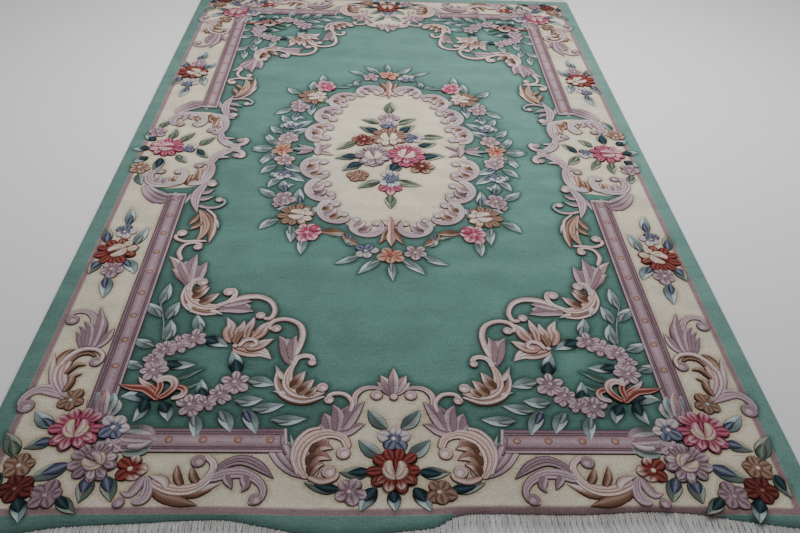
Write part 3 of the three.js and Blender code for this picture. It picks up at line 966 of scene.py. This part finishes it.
FIELD_SCROLL = """
# The lower crescent, its brown back, its tips and its inner lobes
plain brown 0 | 0 6 12 13 8 0 | 232 858, 234 885, 222 912, 196 931, 165 936, 140 928
tube shell 1 | 3 4 5 4 3 | 236 850, 237 890, 220 922, 180 938, 138 924
fluted pink 1 | 4 8 12 13 9 3 | 202 832, 213 862, 212 892, 196 912, 168 921, 138 914
plain shell>pale 1 | 7 6 0 | 222 880, 234 862, 243 840
plain shell>pale 1 | 6 5 0 | 215 918, 228 913, 243 912
veined brown>shell 2 | 10 12 9 0 | 206 904, 196 890, 190 876, 180 858
veined brown>shell 2 | 10 12 9 0 | 192 918, 180 906, 172 894, 160 880
veined brown>shell 2 | 7 8 0 | 176 924, 164 914, 152 896
fluted shell 2 | 6 6 6 6 5 | 208 846, 200 824, 184 816, 170 820, 164 834
# The mauve calyx and the thin stem that curls over it
fluted plum>mauve 0 | 8 18 20 12 0 | 212 842, 214 816, 218 794, 222 778, 226 764
veined mauve 1 | 8 14 12 0 | 214 838, 222 808, 231 780, 245 758
veined mauve 2 | 6 12 10 0 | 208 830, 211 802, 212 775, 206 756
tube shell 2 | 8 7 7 7 6 6 6 5 | 207 815, 197 785, 194 752, 204 724, 230 709, 257 713, 268 730, 258 742
# The second stem and calyx, beyond the lily
tube shell 2 | 5 8 8 7 6 6 5 | 366 658, 336 640, 300 637, 273 653, 261 682, 268 706, 284 706
fluted plum>mauve 0 | 6 15 18 14 0 | 388 676, 366 670, 346 668, 330 668, 314 668
veined mauve 1 | 6 13 12 0 | 386 682, 360 676, 334 678, 306 684
veined mauve 2 | 6 11 10 0 | 378 668, 354 658, 336 654, 314 652
# The upper crescent
plain brown 0 | 0 8 13 12 0 | 468 612, 466 645, 448 672, 418 686, 390 690
tube shell 1 | 3 4 4 4 3 | 472 600, 474 640, 456 676, 420 694, 388 692
fluted pink 1 | 4 9 12 13 9 4 | 458 596, 464 620, 454 645, 430 664, 400 671, 374 660
plain shell>pale 1 | 8 7 0 | 458 660, 450 676, 446 692
plain shell>pale 1 | 7 6 0 | 404 684, 390 688, 372 697
veined brown>shell 2 | 10 11 8 0 | 450 644, 438 632, 430 622, 418 606
veined brown>shell 2 | 10 12 9 0 | 432 662, 416 650, 406 640, 392 626
veined brown>shell 2 | 7 8 0 | 450 622, 438 612, 422 600
fluted shell 2 | 6 6 6 6 5 | 392 668, 370 656, 358 638, 358 620, 368 610
fluted shell 2 | 7 7 6 5 | 463 622, 464 600, 456 582, 440 577
# The palmette over it, and the stem above that
fluted plum>mauve 0 | 10 20 30 26 0 | 464 606, 470 580, 478 556, 484 534, 488 512
veined mauve>shell 1 | 8 12 10 0 | 464 600, 480 578, 496 560, 518 543
veined mauve>shell 1 | 7 13 12 0 | 466 598, 490 556, 510 522, 535 496
veined mauve 2 | 7 13 13 0 | 464 600, 472 562, 474 524, 468 486
veined mauve 1 | 7 13 12 0 | 462 600, 452 572, 448 545, 440 514
veined mauve 2 | 6 11 10 0 | 466 596, 484 560, 497 536, 504 512
tube shell 2 | 5 6 5 5 5 | 502 512, 514 482, 506 454, 484 444, 464 452
# The long crescent below the side cartouche
plain brown 0 | 0 7 9 8 0 | 492 306, 466 338, 456 372, 452 410, 452 442
tube shell 1 | 2 4 4 4 0 | 482 300, 454 332, 446 370, 444 405, 450 446
plain shell>pale 1 | 6 5 0 | 450 348, 442 366, 435 388
fluted peach 1 | 3 9 13 10 4 | 496 308, 480 340, 470 375, 470 405, 478 432
plain brown>peach 0 | 5 9 0 | 494 325, 502 350, 512 372
plain brown>peach 2 | 7 8 0 | 480 360, 492 378, 508 394
tube shell 2 | 3 5 5 5 5 | 456 438, 482 438, 510 440, 532 428, 534 412
# The mauve scroll that joins it to the side cartouche
fluted mauve 1 | 0 8 13 13 9 5 | 500 322, 512 285, 518 245, 510 208, 496 178, 478 172
plain mauve>pale 0 | 6 6 0 | 530 235, 537 260, 540 284
veined mauve 2 | 8 7 0 | 506 232, 490 228, 474 212
veined mauve>pale 2 | 9 8 0 | 506 262, 488 256, 466 244
tube mauve>pale 2 | 6 6 6 5 5 | 502 290, 478 298, 452 294, 437 276, 444 258
# The lily
fluted clay 0 | 14 26 30 22 | 348 762, 330 764, 310 766, 292 772
fluted clay>shell 0 | 12 18 14 0 | 338 792, 300 802, 276 806, 253 826
twin clay>shell 1 | 12 14 10 0 | 342 780, 353 750, 350 730, 364 703
twin clay>shell 2 | 9 10 8 0 | 330 770, 333 748, 326 734, 324 713
twin clay>shell 2 | 9 11 8 0 | 314 768, 314 746, 308 726, 303 701
twin clay>shell 1 | 9 14 11 0 | 300 768, 286 752, 279 734, 268 714
twin clay>shell 2 | 10 14 10 0 | 312 794, 288 790, 272 780, 254 768
twin brown 3 | 7 9 7 0 | 334 784, 334 770, 326 756, 322 744
tube shell 3 | 5 6 6 5 4 | 326 792, 314 774, 296 771, 288 786, 302 794
# The rolled ends
ball shell 3 | 12 | 143 902
ball shell 3 | 9 | 168 836
ball shell 3 | 11 | 252 738
ball shell 3 | 11 | 291 698
ball shell 3 | 13 | 437 590
ball shell 3 | 13 | 372 622
ball shell 3 | 11 | 472 462
ball shell 3 | 13 | 521 408
ball shell 3 | 13 | 484 190
ball shell 3 | 10 | 453 263
ball shell 3 | 6 | 333 790
"""

WREATH = """
leaf dark | 15 3 | 406 768, 347 792
leaf dark | 15 -2 | 318 868, 338 802
leaf dark | 13 -4 | 474 838, 405 842
leaf dark | 13 3 | 372 936, 386 880
leaf dark | 18 -4 | 462 926, 537 928
leaf dark | 13 6 | 486 932, 498 990
leaf dark | 14 4 | 455 940, 431 988
leaf fern | 9 3 | 440 886, 384 852
leaf fern | 9 -3 | 432 902, 384 886
leaf pale | 15 3 | 294 884, 238 896
leaf pale | 14 -3 | 312 935, 257 931
leaf pale | 13 -2 | 277 957, 214 944
leaf pale | 13 -3 | 236 981, 168 978
leaf pale | 13 -2 | 518 664, 511 592
leaf pale | 14 -4 | 508 704, 558 659
leaf pale | 14 2 | 492 711, 476 654
leaf pale | 14 -4 | 482 776, 484 712
leaf pale | 14 3 | 411 750, 430 694
leaf pale | 13 3 | 502 792, 550 770
leaf pale | 12 3 | 512 850, 558 832
leaf steel 1.4 | 14 3 | 291 958, 260 1018
leaf pale 1.4 | 14 3 | 337 962, 308 1014
leaf pale 1.4 | 13 4 | 386 972, 373 1030
# The stem and the ribbon
plain grey 0 | 2 2.4 2.4 2 | 518 662, 508 690, 497 725, 489 772
band ribbon 3 | 0 7 9 9 6 | 549 898, 520 905, 495 908, 477 920, 461 936
band shell>ribbon 4 | 0 5 6 4 | 513 878, 500 893, 484 902, 470 912
band ribbon 4 | 6 7 7 5 | 468 928, 464 908, 467 894, 476 886
band shell>ribbon 5 | 6 8 8 7 6 | 474 892, 457 882, 441 888, 436 904, 446 922, 460 934
band ribbon>shell 4 | 5 7 7 6 4 | 444 908, 427 904, 414 912, 417 926, 436 934
cluster plum>bloom 1 | 28 -2.6 | 424 769
cluster plum>bloom 1 | 25 -2.2 | 450 787
cluster plum>bloom 1 | 27 -1.7 | 478 802
cluster plum>bloom 1 | 22 -1.05 | 494 832
cluster plum>bloom 1 | 30 0 | 486 861
cluster plum>bloom 1 | 30 -2.6 | 318 890
cluster plum>bloom 1 | 27 -2.5 | 342 920
cluster plum>bloom 1 | 22 -2.2 | 367 942
cluster plum>bloom 1 | 30 -2.3 | 396 948
"""

CORNER_FLOWERS = """
leaf steel | 14 3 | 640 1002, 688 963
leaf blue | 13 -2 | 630 1032, 680 1050
leaf blue | 16 3 | 586 1082, 652 1115
leaf moss | 15 -3 | 688 1068, 724 1014
leaf dark | 14 3 | 655 1152, 634 1200
leaf ivy | 12 -2 | 585 1148, 545 1182
leaf blue | 15 2 | 545 1108, 546 1162
leaf blue | 14 2 | 515 1108, 492 1160
leaf ivy | 12 3 | 702 1100, 712 1150
fluted mauve 0 | 4 12 13 9 7 5 | 638 934, 662 918, 692 910, 714 922, 722 944, 712 962
# The striped long petals beside the white blossom
veined grey>haze 1 | 8 12 11 0 | 508 1006, 482 1006, 460 1012, 444 1026
veined mauve 2 | 8 9 8 0 | 510 1026, 484 1028, 462 1030, 445 1034
plain haze 3 | 5 6 0 | 492 1046, 466 1044, 446 1030
# The pale pointed leaves over the side rail
veined grey>haze 0 | 6 11 9 0 | 556 972, 574 962, 586 948, 597 930
veined grey>frost 1 | 6 11 9 0 | 556 970, 570 950, 576 932, 585 912
veined mauve>shell 2 | 6 10 8 0 | 556 972, 562 948, 563 928, 568 908
veined grey>frost 1 | 6 11 9 0 | 552 972, 550 950, 548 936, 552 914
veined grey>haze 0 | 6 11 9 0 | 548 976, 540 962, 536 950, 537 934
veined grey 1 | 8 10 8 0 | 498 1058, 476 1058, 458 1052, 445 1040
ball mauve 1 | 16 1 | 709 953
blossom brown white 1 | 27 0.4 | 627 937
blossom brown shell 1 | 30 0.9 | 671 1086
blossom wine rust 1 | 33 0.2 | 661 1133
blossom plum mauve 1 | 31 0.7 | 605 1146
blossom red>pink cream 1 | 31 1.88 | 473 1092
blossom mauve shell 1 | 24 0.1 | 522 1042
rose plum>mauve mauve>haze mauve>buff plum>mauve 2 | 45 -0.6 | 544 1077
blossom blue>haze shell 3 | 31 3.1 | 527 1002
rose rose>blush rose>blush blush>buff 3 | 51 -1.5 | 597 1005
"""

BORDER_SCROLLS = """
fluted mauve 1 | 4 6 7 8 8 6 | 704 708, 694 692, 672 690, 652 706, 641 735, 637 775
veined mauve 0 | 9 10 8 0 | 643 800, 657 776, 667 760, 677 750
veined mauve 1 | 8 10 9 0 | 640 798, 649 770, 658 748, 674 735
veined mauve 2 | 8 9 8 0 | 638 796, 644 762, 652 736, 668 720
veined mauve 2 | 8 10 9 0 | 630 798, 630 758, 634 715, 645 676
plain plum>mauve 1 | 6 8 6 0 | 624 796, 620 760, 622 728, 636 694
veined mauve 1 | 7 10 9 0 | 622 798, 610 778, 604 758, 598 740
# The lower, pink scroll with its brown back and lobes
plain brown>peach 0 | 0 7 8 0 | 662 800, 676 812, 683 828, 686 850
plain mauve>shell 0 | 3 6 7 0 | 660 925, 680 890, 690 855, 700 812
tube shell 2 | 5 5 6 6 | 600 840, 601 818, 618 804, 645 804, 666 822, 678 852
plain brown 2 | 3 4 4 3 | 614 822, 630 814, 650 820, 660 838
fluted pink>mauve 1 | 5 13 15 12 4 | 656 812, 670 845, 668 878, 655 905, 640 930
plain brown>peach 3 | 4 6 5 0 | 660 872, 652 856, 643 846, 626 847
plain brown>peach 3 | 5 7 6 0 | 648 918, 642 895, 642 878, 627 870
ball mauve 2 | 14 | 694 717
ball mauve 2 | 13 | 609 837
# The scroll in the end border
fluted plum 1 | 4 9 11 9 0 | 328 1104, 306 1082, 280 1073, 250 1084, 217 1112
plain mauve 0 | 5 5 0 | 282 1078, 270 1070, 262 1060
fluted mauve 1 | 8 11 11 9 7 5 4 | 332 1114, 302 1102, 270 1102, 243 1118, 232 1140, 240 1160, 256 1160
veined mauve 2 | 7 7 0 | 304 1106, 296 1120, 288 1134
veined mauve 2 | 7 8 0 | 272 1108, 264 1126, 270 1140
fluted pink>shell 1 | 10 11 11 9 7 5 | 432 1118, 396 1134, 360 1134, 334 1114, 328 1084, 346 1064
plain brown>peach 2 | 6 7 0 | 378 1128, 388 1108, 393 1084
plain brown>peach 2 | 6 7 0 | 350 1122, 360 1108, 366 1088
plain shell 2 | 6 8 0 | 402 1132, 412 1116, 440 1106
plain brown 0 | 3 9 11 0 | 440 1120, 412 1146, 382 1156, 342 1166
plain shell 0 | 5 6 0 | 350 1138, 330 1130, 308 1120
plain brown 0 | 6 7 0 | 376 1144, 350 1144, 322 1134
plain mauve 0 | 6 9 8 0 | 447 1108, 454 1128, 464 1144, 482 1140
fluted mauve 1 | 6 9 10 6 | 441 1110, 434 1132, 438 1154, 456 1160
ball mauve 2 | 13 | 357 1076
ball mauve 2 | 11 | 244 1154
ball mauve 2 | 10 | 478 1161
"""

BORDER_BOUQUET = """
leaf blue | 13 -2 | 697 448, 713 384
leaf pale | 14 3 | 624 452, 608 384
leaf steel | 13 -3 | 663 376, 674 302
leaf blue | 14 -2 | 690 515, 706 566
leaf steel | 15 4 | 635 512, 600 562
leaf steel | 15 3 | 662 574, 650 646
blossom plum>mauve shell 1 | 31 0.4 | 655 546
blossom blue>haze haze 1 | 28 0.8 | 662 404
rose red>red red>rust shell>buff buff>shell 2 | 50 0.6 | 662 481
"""

MEDALLION_FRAME = """
fluted mauve>haze 1 | 5 9 12 13 13 11 6 | 24 352, 25 380, 44 398, 68 398, 90 384, 99 360, 94 342
veined plum>mauve 2 | 10 12 0 | 84 390, 66 382, 50 362
veined mauve>shell 2 | 10 12 0 | 96 372, 80 362, 66 344
fluted mauve>haze 1 | 5 9 11 12 12 12 11 7 | 110 326, 116 342, 138 348, 164 338, \
    181 314, 184 288, 173 264, 154 258
veined brown>shell 2 | 10 13 0 | 158 334, 144 322, 134 298
veined mauve>shell 2 | 11 14 0 | 172 322, 156 308, 142 288
veined brown>shell 2 | 10 12 0 | 178 302, 166 292, 152 276
fluted mauve>haze 1 | 5 9 11 12 12 12 11 7 | 152 226, 158 244, 180 252, 204 241, \
    220 218, 223 192, 212 166, 192 156
veined plum>mauve 2 | 11 14 0 | 204 232, 188 220, 172 204
veined mauve>shell 2 | 12 15 0 | 214 206, 196 196, 178 182
fluted mauve>haze 1 | 5 9 11 12 12 12 11 8 | 174 124, 181 140, 204 147, 228 133, \
    242 109, 243 82, 232 58, 208 46
veined brown>shell 2 | 10 12 0 | 222 132, 206 122, 194 100
veined mauve>shell 2 | 12 15 0 | 234 116, 216 106, 200 86
veined brown>shell 2 | 10 12 0 | 236 98, 220 92, 202 72
veined shell 2 | 9 12 0 | 232 74, 216 68, 198 54
ball haze 2 | 11 | 90 339
ball haze 2 | 11 | 38 354
ball haze 2 | 11 | 122 317
ball haze 2 | 14 | 146 270
ball haze 2 | 12 | 161 224
ball haze 2 | 14 | 175 178
ball haze 2 | 12 | 182 123
ball haze 2 | 14 | 190 66
"""

GARLAND = """
leaf steel | 14 3 | 240 272, 247 200
leaf steel | 15 3 | 283 214, 294 163
leaf pale | 14 3 | 304 244, 357 202
leaf pale | 13 -3 | 304 150, 333 200
leaf steel | 15 -3 | 290 118, 235 168
leaf pale | 9 3 | 318 150, 330 122
leaf pale | 14 -3 | 322 88, 362 133
leaf steel | 16 -4 | 300 76, 245 119
leaf pale | 13 -3 | 328 34, 372 74
leaf pale | 14 3 | 344 2, 402 6
leaf pale | 14 4 | 336 -22, 364 -84
leaf pale | 14 -5 | 290 343, 334 386
leaf pale | 13 3 | 258 368, 250 438
leaf pale | 13 -2 | 216 416, 221 484
leaf steel | 10 3 | 112 396, 108 440
leaf pale | 9 -2 | 212 318, 198 282
leaf pale | 10 2 | 262 286, 300 300
leaf steel | 9 2 | 300 196, 262 182
near leaf brown | 13 3 | 176 392, 116 396
near leaf brown | 12 -3 | 122 398, 80 446
far leaf grey | 6 3 | 176 392, 122 398
blossom plum>mauve shell 1 | 33 0.4 | 283 248
blossom blue>white shell 1 | 27 0.2 | 302 137
blossom plum>pink shell 1 | 30 0.9 | 302 62
blossom plum>mauve shell 1 | 17 1.3 | 298 276
rose brown>brown peach>cream cream>shell shell>cream 1 | 47 -0.2 | 246 322
blossom rose>blush blush 2 | 38 1 6 | 210 396
disc rose 3.4 | 15 0.2 -0.1 | 193 381
disc blush 4.2 | 6 | 183 385
"""

CARTOUCHES = """
fluted mauve>haze 1 | 7 11 14 16 14 9 | 640 124, 660 142, 657 172, 636 190, 606 192, 576 188
veined mauve>haze 2 | 8 9 0 | 640 186, 632 172, 632 152
veined mauve>haze 2 | 8 9 0 | 616 190, 614 174, 606 158
fluted haze 2 | 5 8 10 12 12 7 | 594 134, 582 122, 570 134, 566 158, 574 180, 596 194
veined peach>pink 2 | 6 8 0 | 582 182, 592 168, 588 150
fluted mauve>haze 1 | 6 10 12 14 15 14 9 | 534 86, 516 82, 504 92, 500 118, 504 150, 520 178, 552 190
veined peach>pink 1 | 9 11 9 0 | 548 186, 530 162, 520 136, 520 108
veined peach>pink 2 | 6 8 7 0 | 524 176, 530 152, 530 130, 536 108
veined brown>peach 2 | 6 8 7 0 | 550 192, 556 174, 554 158, 544 142
fluted mauve>haze 1 | 8 11 13 13 10 6 | 504 84, 500 58, 490 38, 472 20, 454 8, 436 0
fluted mauve>shell 2 | 6 8 8 7 7 | 474 16, 448 13, 428 24, 422 42, 432 54
plain mauve>shell 2 | 6 6 0 | 494 58, 480 52, 458 53
ball mauve 2 | 13 | 636 130
ball mauve 2 | 11 | 588 132
ball mauve 2 | 13 | 537 97
ball mauve 2 | 12 | 440 42
# The end cartouche
fluted pink>mauve 1 | 4 6 6 5 4 | 76 948, 77 922, 62 904, 40 900, 24 906
# The mauve acanthus over the scroll: its filled middle and its tips
fluted plum 0 | 16 30 27 14 0 | 112 1020, 106 1000, 100 980, 94 962, 88 944
veined mauve 1 | 10 13 11 0 | 122 1012, 126 994, 130 980, 136 964
veined mauve 2 | 10 13 11 0 | 110 1010, 108 986, 111 964, 120 944
veined mauve 2 | 10 14 11 0 | 100 1006, 88 982, 76 960, 58 936
veined mauve 1 | 9 12 9 0 | 108 1014, 88 1006, 74 998, 55 990
veined mauve 1 | 8 9 0 | 126 1014, 137 1008, 142 990
tube shell 2 | 6 5 5 5 5 | 86 964, 82 940, 96 920, 118 917, 132 926
# The great scroll, its brown inside and its lobes
plain shell>pale 0 | 9 9 7 0 | 166 1098, 182 1070, 186 1046, 197 1014
fluted peach 0 | 14 20 22 18 10 | 148 1112, 158 1084, 158 1056, 146 1036, 124 1024
fluted pink 1 | 6 12 14 14 12 9 7 | 160 1112, 176 1078, 172 1046, 152 1022, 122 1013, 96 1024, 86 1048
tube shell 2 | 3 4 4 4 3 | 176 1104, 189 1066, 183 1032, 164 1008, 140 1000
veined brown>pink 2 | 9 12 10 0 | 150 1062, 146 1048, 134 1042, 114 1048
veined brown>pink 2 | 9 12 10 0 | 156 1086, 150 1070, 136 1064, 116 1072
veined brown>pink 2 | 8 10 8 0 | 154 1106, 150 1092, 142 1084, 128 1082
tube pink 2 | 5 7 6 5 | 156 1110, 132 1118, 110 1112, 104 1100
ball shell 2 | 12 | 34 920
ball shell 2 | 10 | 128 933
ball shell 2 | 13 | 95 1058
ball shell 2 | 13 | 120 1098
"""

SIDE_BOUQUET = """
leaf dark | 13 0 | 688 32, 724 64
leaf dark | 14 0 | 692 -8, 744 -15
leaf dark | 13 0 | 688 -56, 724 -84
leaf moss | 13 3 | 648 42, 642 104
leaf ivy | 15 -4 | 652 -60, 658 -134
leaf moss | 13 -4 | 612 28, 580 84
leaf moss | 14 -4 | 554 10, 516 60
leaf moss | 12 3 | 610 -42, 574 -84
leaf ivy | 12 4 | 556 -8, 517 -58
leaf moss | 12 -4 | 690 106, 666 156
leaf grey | 13 4 | 692 -142, 672 -198
blossom plum>mauve shell 1 | 30 0.3 | 690 82
blossom brown>peach shell 1 | 31 0.6 | 697 -114
blossom blue>haze mauve 1 | 26 0.5 | 582 -2
rose rose>rose rose>blush blush>blush blush>blush 2 | 50 3.14 | 646 -4
"""

AXIS_FLOWERS = """
veined mauve 1 | 11 9 0 | 212 8, 190 18, 164 30
veined mauve 1 | 11 9 0 | 212 -8, 190 -18, 172 -30
plain mauve 2 | 9 12 9 0 | 206 30, 210 12, 208 -10, 204 -32
veined mauve 2 | 6 9 0 | 225 4, 248 16, 271 29
veined mauve>pale 2 | 6 9 0 | 225 -4, 250 -10, 273 -26
veined mauve>pale 3 | 6 9 8 0 | 220 0, 244 3, 266 3, 292 0
blossom plum>pink shell 0 | 22 0.2 | 312 -34
blossom coral>peach rust 1 | 33 0.4 | 313 6
blossom plum>bloom shell 1 | 29 0.9 | 301 -64
"""

SPRAY = """
both plain pink 1 | 6 8 0 | 0 368, 12 350, 27 337
both veined brown>peach 1 | 7 8 7 0 | 4 372, 15 398, 20 418, 30 438
veined pink 2 | 0 9 8 12 0 | 0 322, 0 350, 0 385, 0 420, 0 450
leaf pale | 10 0 | 0 508, -3 578
both leaf pale | 13 3 | -26 500, -80 553
both leaf pale | 11 -3 | -78 482, -138 517
both leaf pale | 8 -3 | -96 448, -116 414
leaf pale | 5 0 | -150 408, -118 416
leaf pale | 5 0 | 150 408, 118 400
blossom plum>bloom shell 1 | 29 0.3 | -60 470
blossom blue>haze white 1 | 29 0.6 | 62 466
blossom coral>peach rust 2 | 35 0.1 | 0 484
"""

END_BOUQUET = """
fluted plum>mauve 0 | 8 20 22 10 0 | 0 920, 0 905, 0 890, 0 876, 0 866
both veined mauve>shell 1 | 6 10 8 0 | 2 918, 15 904, 24 896, 34 886
both veined mauve>shell 2 | 6 10 9 0 | 2 916, 11 898, 18 884, 27 868
veined mauve>shell 3 | 6 11 9 0 | 0 920, 0 895, 0 875, 0 848
disc shell 3 | 8 | 0 925
both leaf grey | 14 3 | 14 1002, 51 955
both leaf grey | 14 3 | 24 1066, 68 1026
both leaf ivy | 13 3 | 44 1096, 102 1098
both leaf ivy | 12 3 | 98 1134, 164 1119
both leaf dark | 14 -2 | 34 1130, 62 1178
leaf dark | 12 0 | 4 1136, 0 1178
blossom plum>mauve shell 1 | 29 0.4 | 80 1138
blossom brown shell 1 | 29 0.5 | -80 1138
blossom blue>haze shell 1 | 31 -2.8 | 0 1024
rose red>red red>rust pink>buff red>pink 3 | 49 -1.57 | 0 1094
"""

MEDALLION_BOUQUET = """
leaf sage | 14 -4 | -32 158, -88 183
leaf sage | 14 4 | 27 153, 84 193
leaf ivy | 18 -3 | -32 100, -94 140
leaf ivy | 17 3 | 32 104, 80 152
leaf sage | 15 4 | 96 78, 164 82
leaf ivy | 15 -4 | 84 34, 140 48
leaf ivy | 19 2 | 88 -32, 162 -24
leaf ivy | 18 -3 | -90 -32, -160 -46
leaf ivy | 18 -4 | -78 -66, -136 -112
leaf ivy | 20 4 | 22 -62, -10 -124
leaf moss | 14 3 | -100 54, -158 2
leaf sage | 15 -3 | -28 -158, -90 -196
leaf sage | 16 -4 | 14 -154, 86 -177
leaf moss | 17 3 | 0 222, 8 302
leaf moss | 15 0 | 0 -224, 0 -290
blossom plum>mauve haze 1 | 34 0.35 | 0 186
blossom blue>haze haze 1 | 33 0.3 | -2 154
blossom wine>rust peach 1 | 35 0.5 | -78 59
blossom blue>haze blue 1 | 32 5.2 | 74 77
blossom wine>peach peach 1 | 37 2.6 | 89 -84
blossom brown peach 1 | 33 0.4 | -88 -134
blossom blue>haze haze 1 | 29 0.6 | 0 -130
blossom blue>white blue 1 | 29 3.4 | 0 -164
twin rose 1 | 9 17 14 | -6 -184, -20 -195, -30 -202
twin rose 1 | 9 17 14 | 6 -184, 20 -195, 30 -202
twin rose>blush 2 | 9 14 6 | 0 -190, 0 -208, 0 -228
twin shell>haze 1 | 6 11 9 | -4 66, -17 46, -30 26
twin shell>haze 1 | 6 11 9 | -4 66, -7 46, -10 24
twin shell>haze 1 | 6 11 9 | -4 66, 3 46, 10 28
rose brown>brown peach>shell cream>cream cream>shell 2 | 54 1.6 | -2 78
twin plum>mauve 2 | 6 12 10 | -49 -42, -65.5 -54, -82 -66
twin plum>mauve 2 | 6 12 10 | -49 -42, -58 -62, -67 -82
twin plum>mauve 2 | 6 12 10 | -49 -42, -49.5 -64.5, -50 -87
twin plum>mauve 2 | 6 12 10 | -49 -42, -41 -61.5, -33 -81
twin plum>mauve 2 | 6 12 10 | -49 -42, -33.5 -55, -18 -68
rose plum>haze mauve>haze haze>cream 3 | 54 1.75 | -49 -28
twin rose 3 | 6 12 10 | 46 -40, 29 -53, 12 -66
twin rose 3 | 6 12 10 | 46 -40, 37 -62, 28 -84
twin rose 3 | 6 12 10 | 46 -40, 46 -64.5, 46 -89
twin rose 3 | 6 12 10 | 46 -40, 54 -61, 62 -82
rose rose>blush rose>rose blush>shell 4 | 57 1.2 | 49 -20
"""


QUARTERS = {"near_left": (-1, -1), "near_right": (1, -1), "far_left": (-1, 1), "far_right": (1, 1)}
QUARTER_PARTS = {
    "rails": RAILS,
    "field_scroll": FIELD_SCROLL,
    "wreath": WREATH,
    "corner_flowers": CORNER_FLOWERS,
    "border_scrolls": BORDER_SCROLLS,
    "border_bouquet": BORDER_BOUQUET,
    "medallion_frame": MEDALLION_FRAME,
    "garland": GARLAND,
    "cartouches": CARTOUCHES,
}
AXIS_PARTS = (
    ("side_bouquet_left", SIDE_BOUQUET, (-1, 1)),
    ("side_bouquet_right", SIDE_BOUQUET, (1, -1)),
    ("axis_flowers_left", AXIS_FLOWERS, (-1, -1)),
    ("axis_flowers_right", AXIS_FLOWERS, (1, 1)),
    ("spray_far", SPRAY, (1, 1)),
    ("spray_near", SPRAY, (-1, -1)),
    ("end_bouquet_near", END_BOUQUET, (-1, -1)),
    ("end_bouquet_far", END_BOUQUET, (1, 1)),
    ("medallion_bouquet", MEDALLION_BOUQUET, (1, 1)),
)


def motif_pens():
    """Every carved motif's pen, each for one part of the drawing."""
    parts = [
        (part + "_" + quarter, table, flip)
        for part, table in QUARTER_PARTS.items()
        for quarter, flip in QUARTERS.items()
    ]
    pens = []
    for name, table, flip in (*parts, *AXIS_PARTS):
        pens.append(Pen(name, *flip))
        draw(pens[-1], table)
    return pens


def main():
    wool = motif_material()
    pens = motif_pens()
    carved = np.vstack([np.vstack(pen.points)[:, :2] for pen in pens])[::3]
    motifs = [pen.piece(wool) for pen in pens]
    ground = ground_piece(ground_material(), carved)
    cotton = cotton_material()
    near = fringe_piece("fringe_near_cotton", -1, near_end_at, cotton)
    far = fringe_piece("fringe_far_cotton", 1, far_end_at, cotton)
    for piece in [ground, near, far, *motifs]:
        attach(piece, "root")
    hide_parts("carpet")
    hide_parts("fringe_near")
    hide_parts("fringe_far")
    place_camera()
    stage()


main()
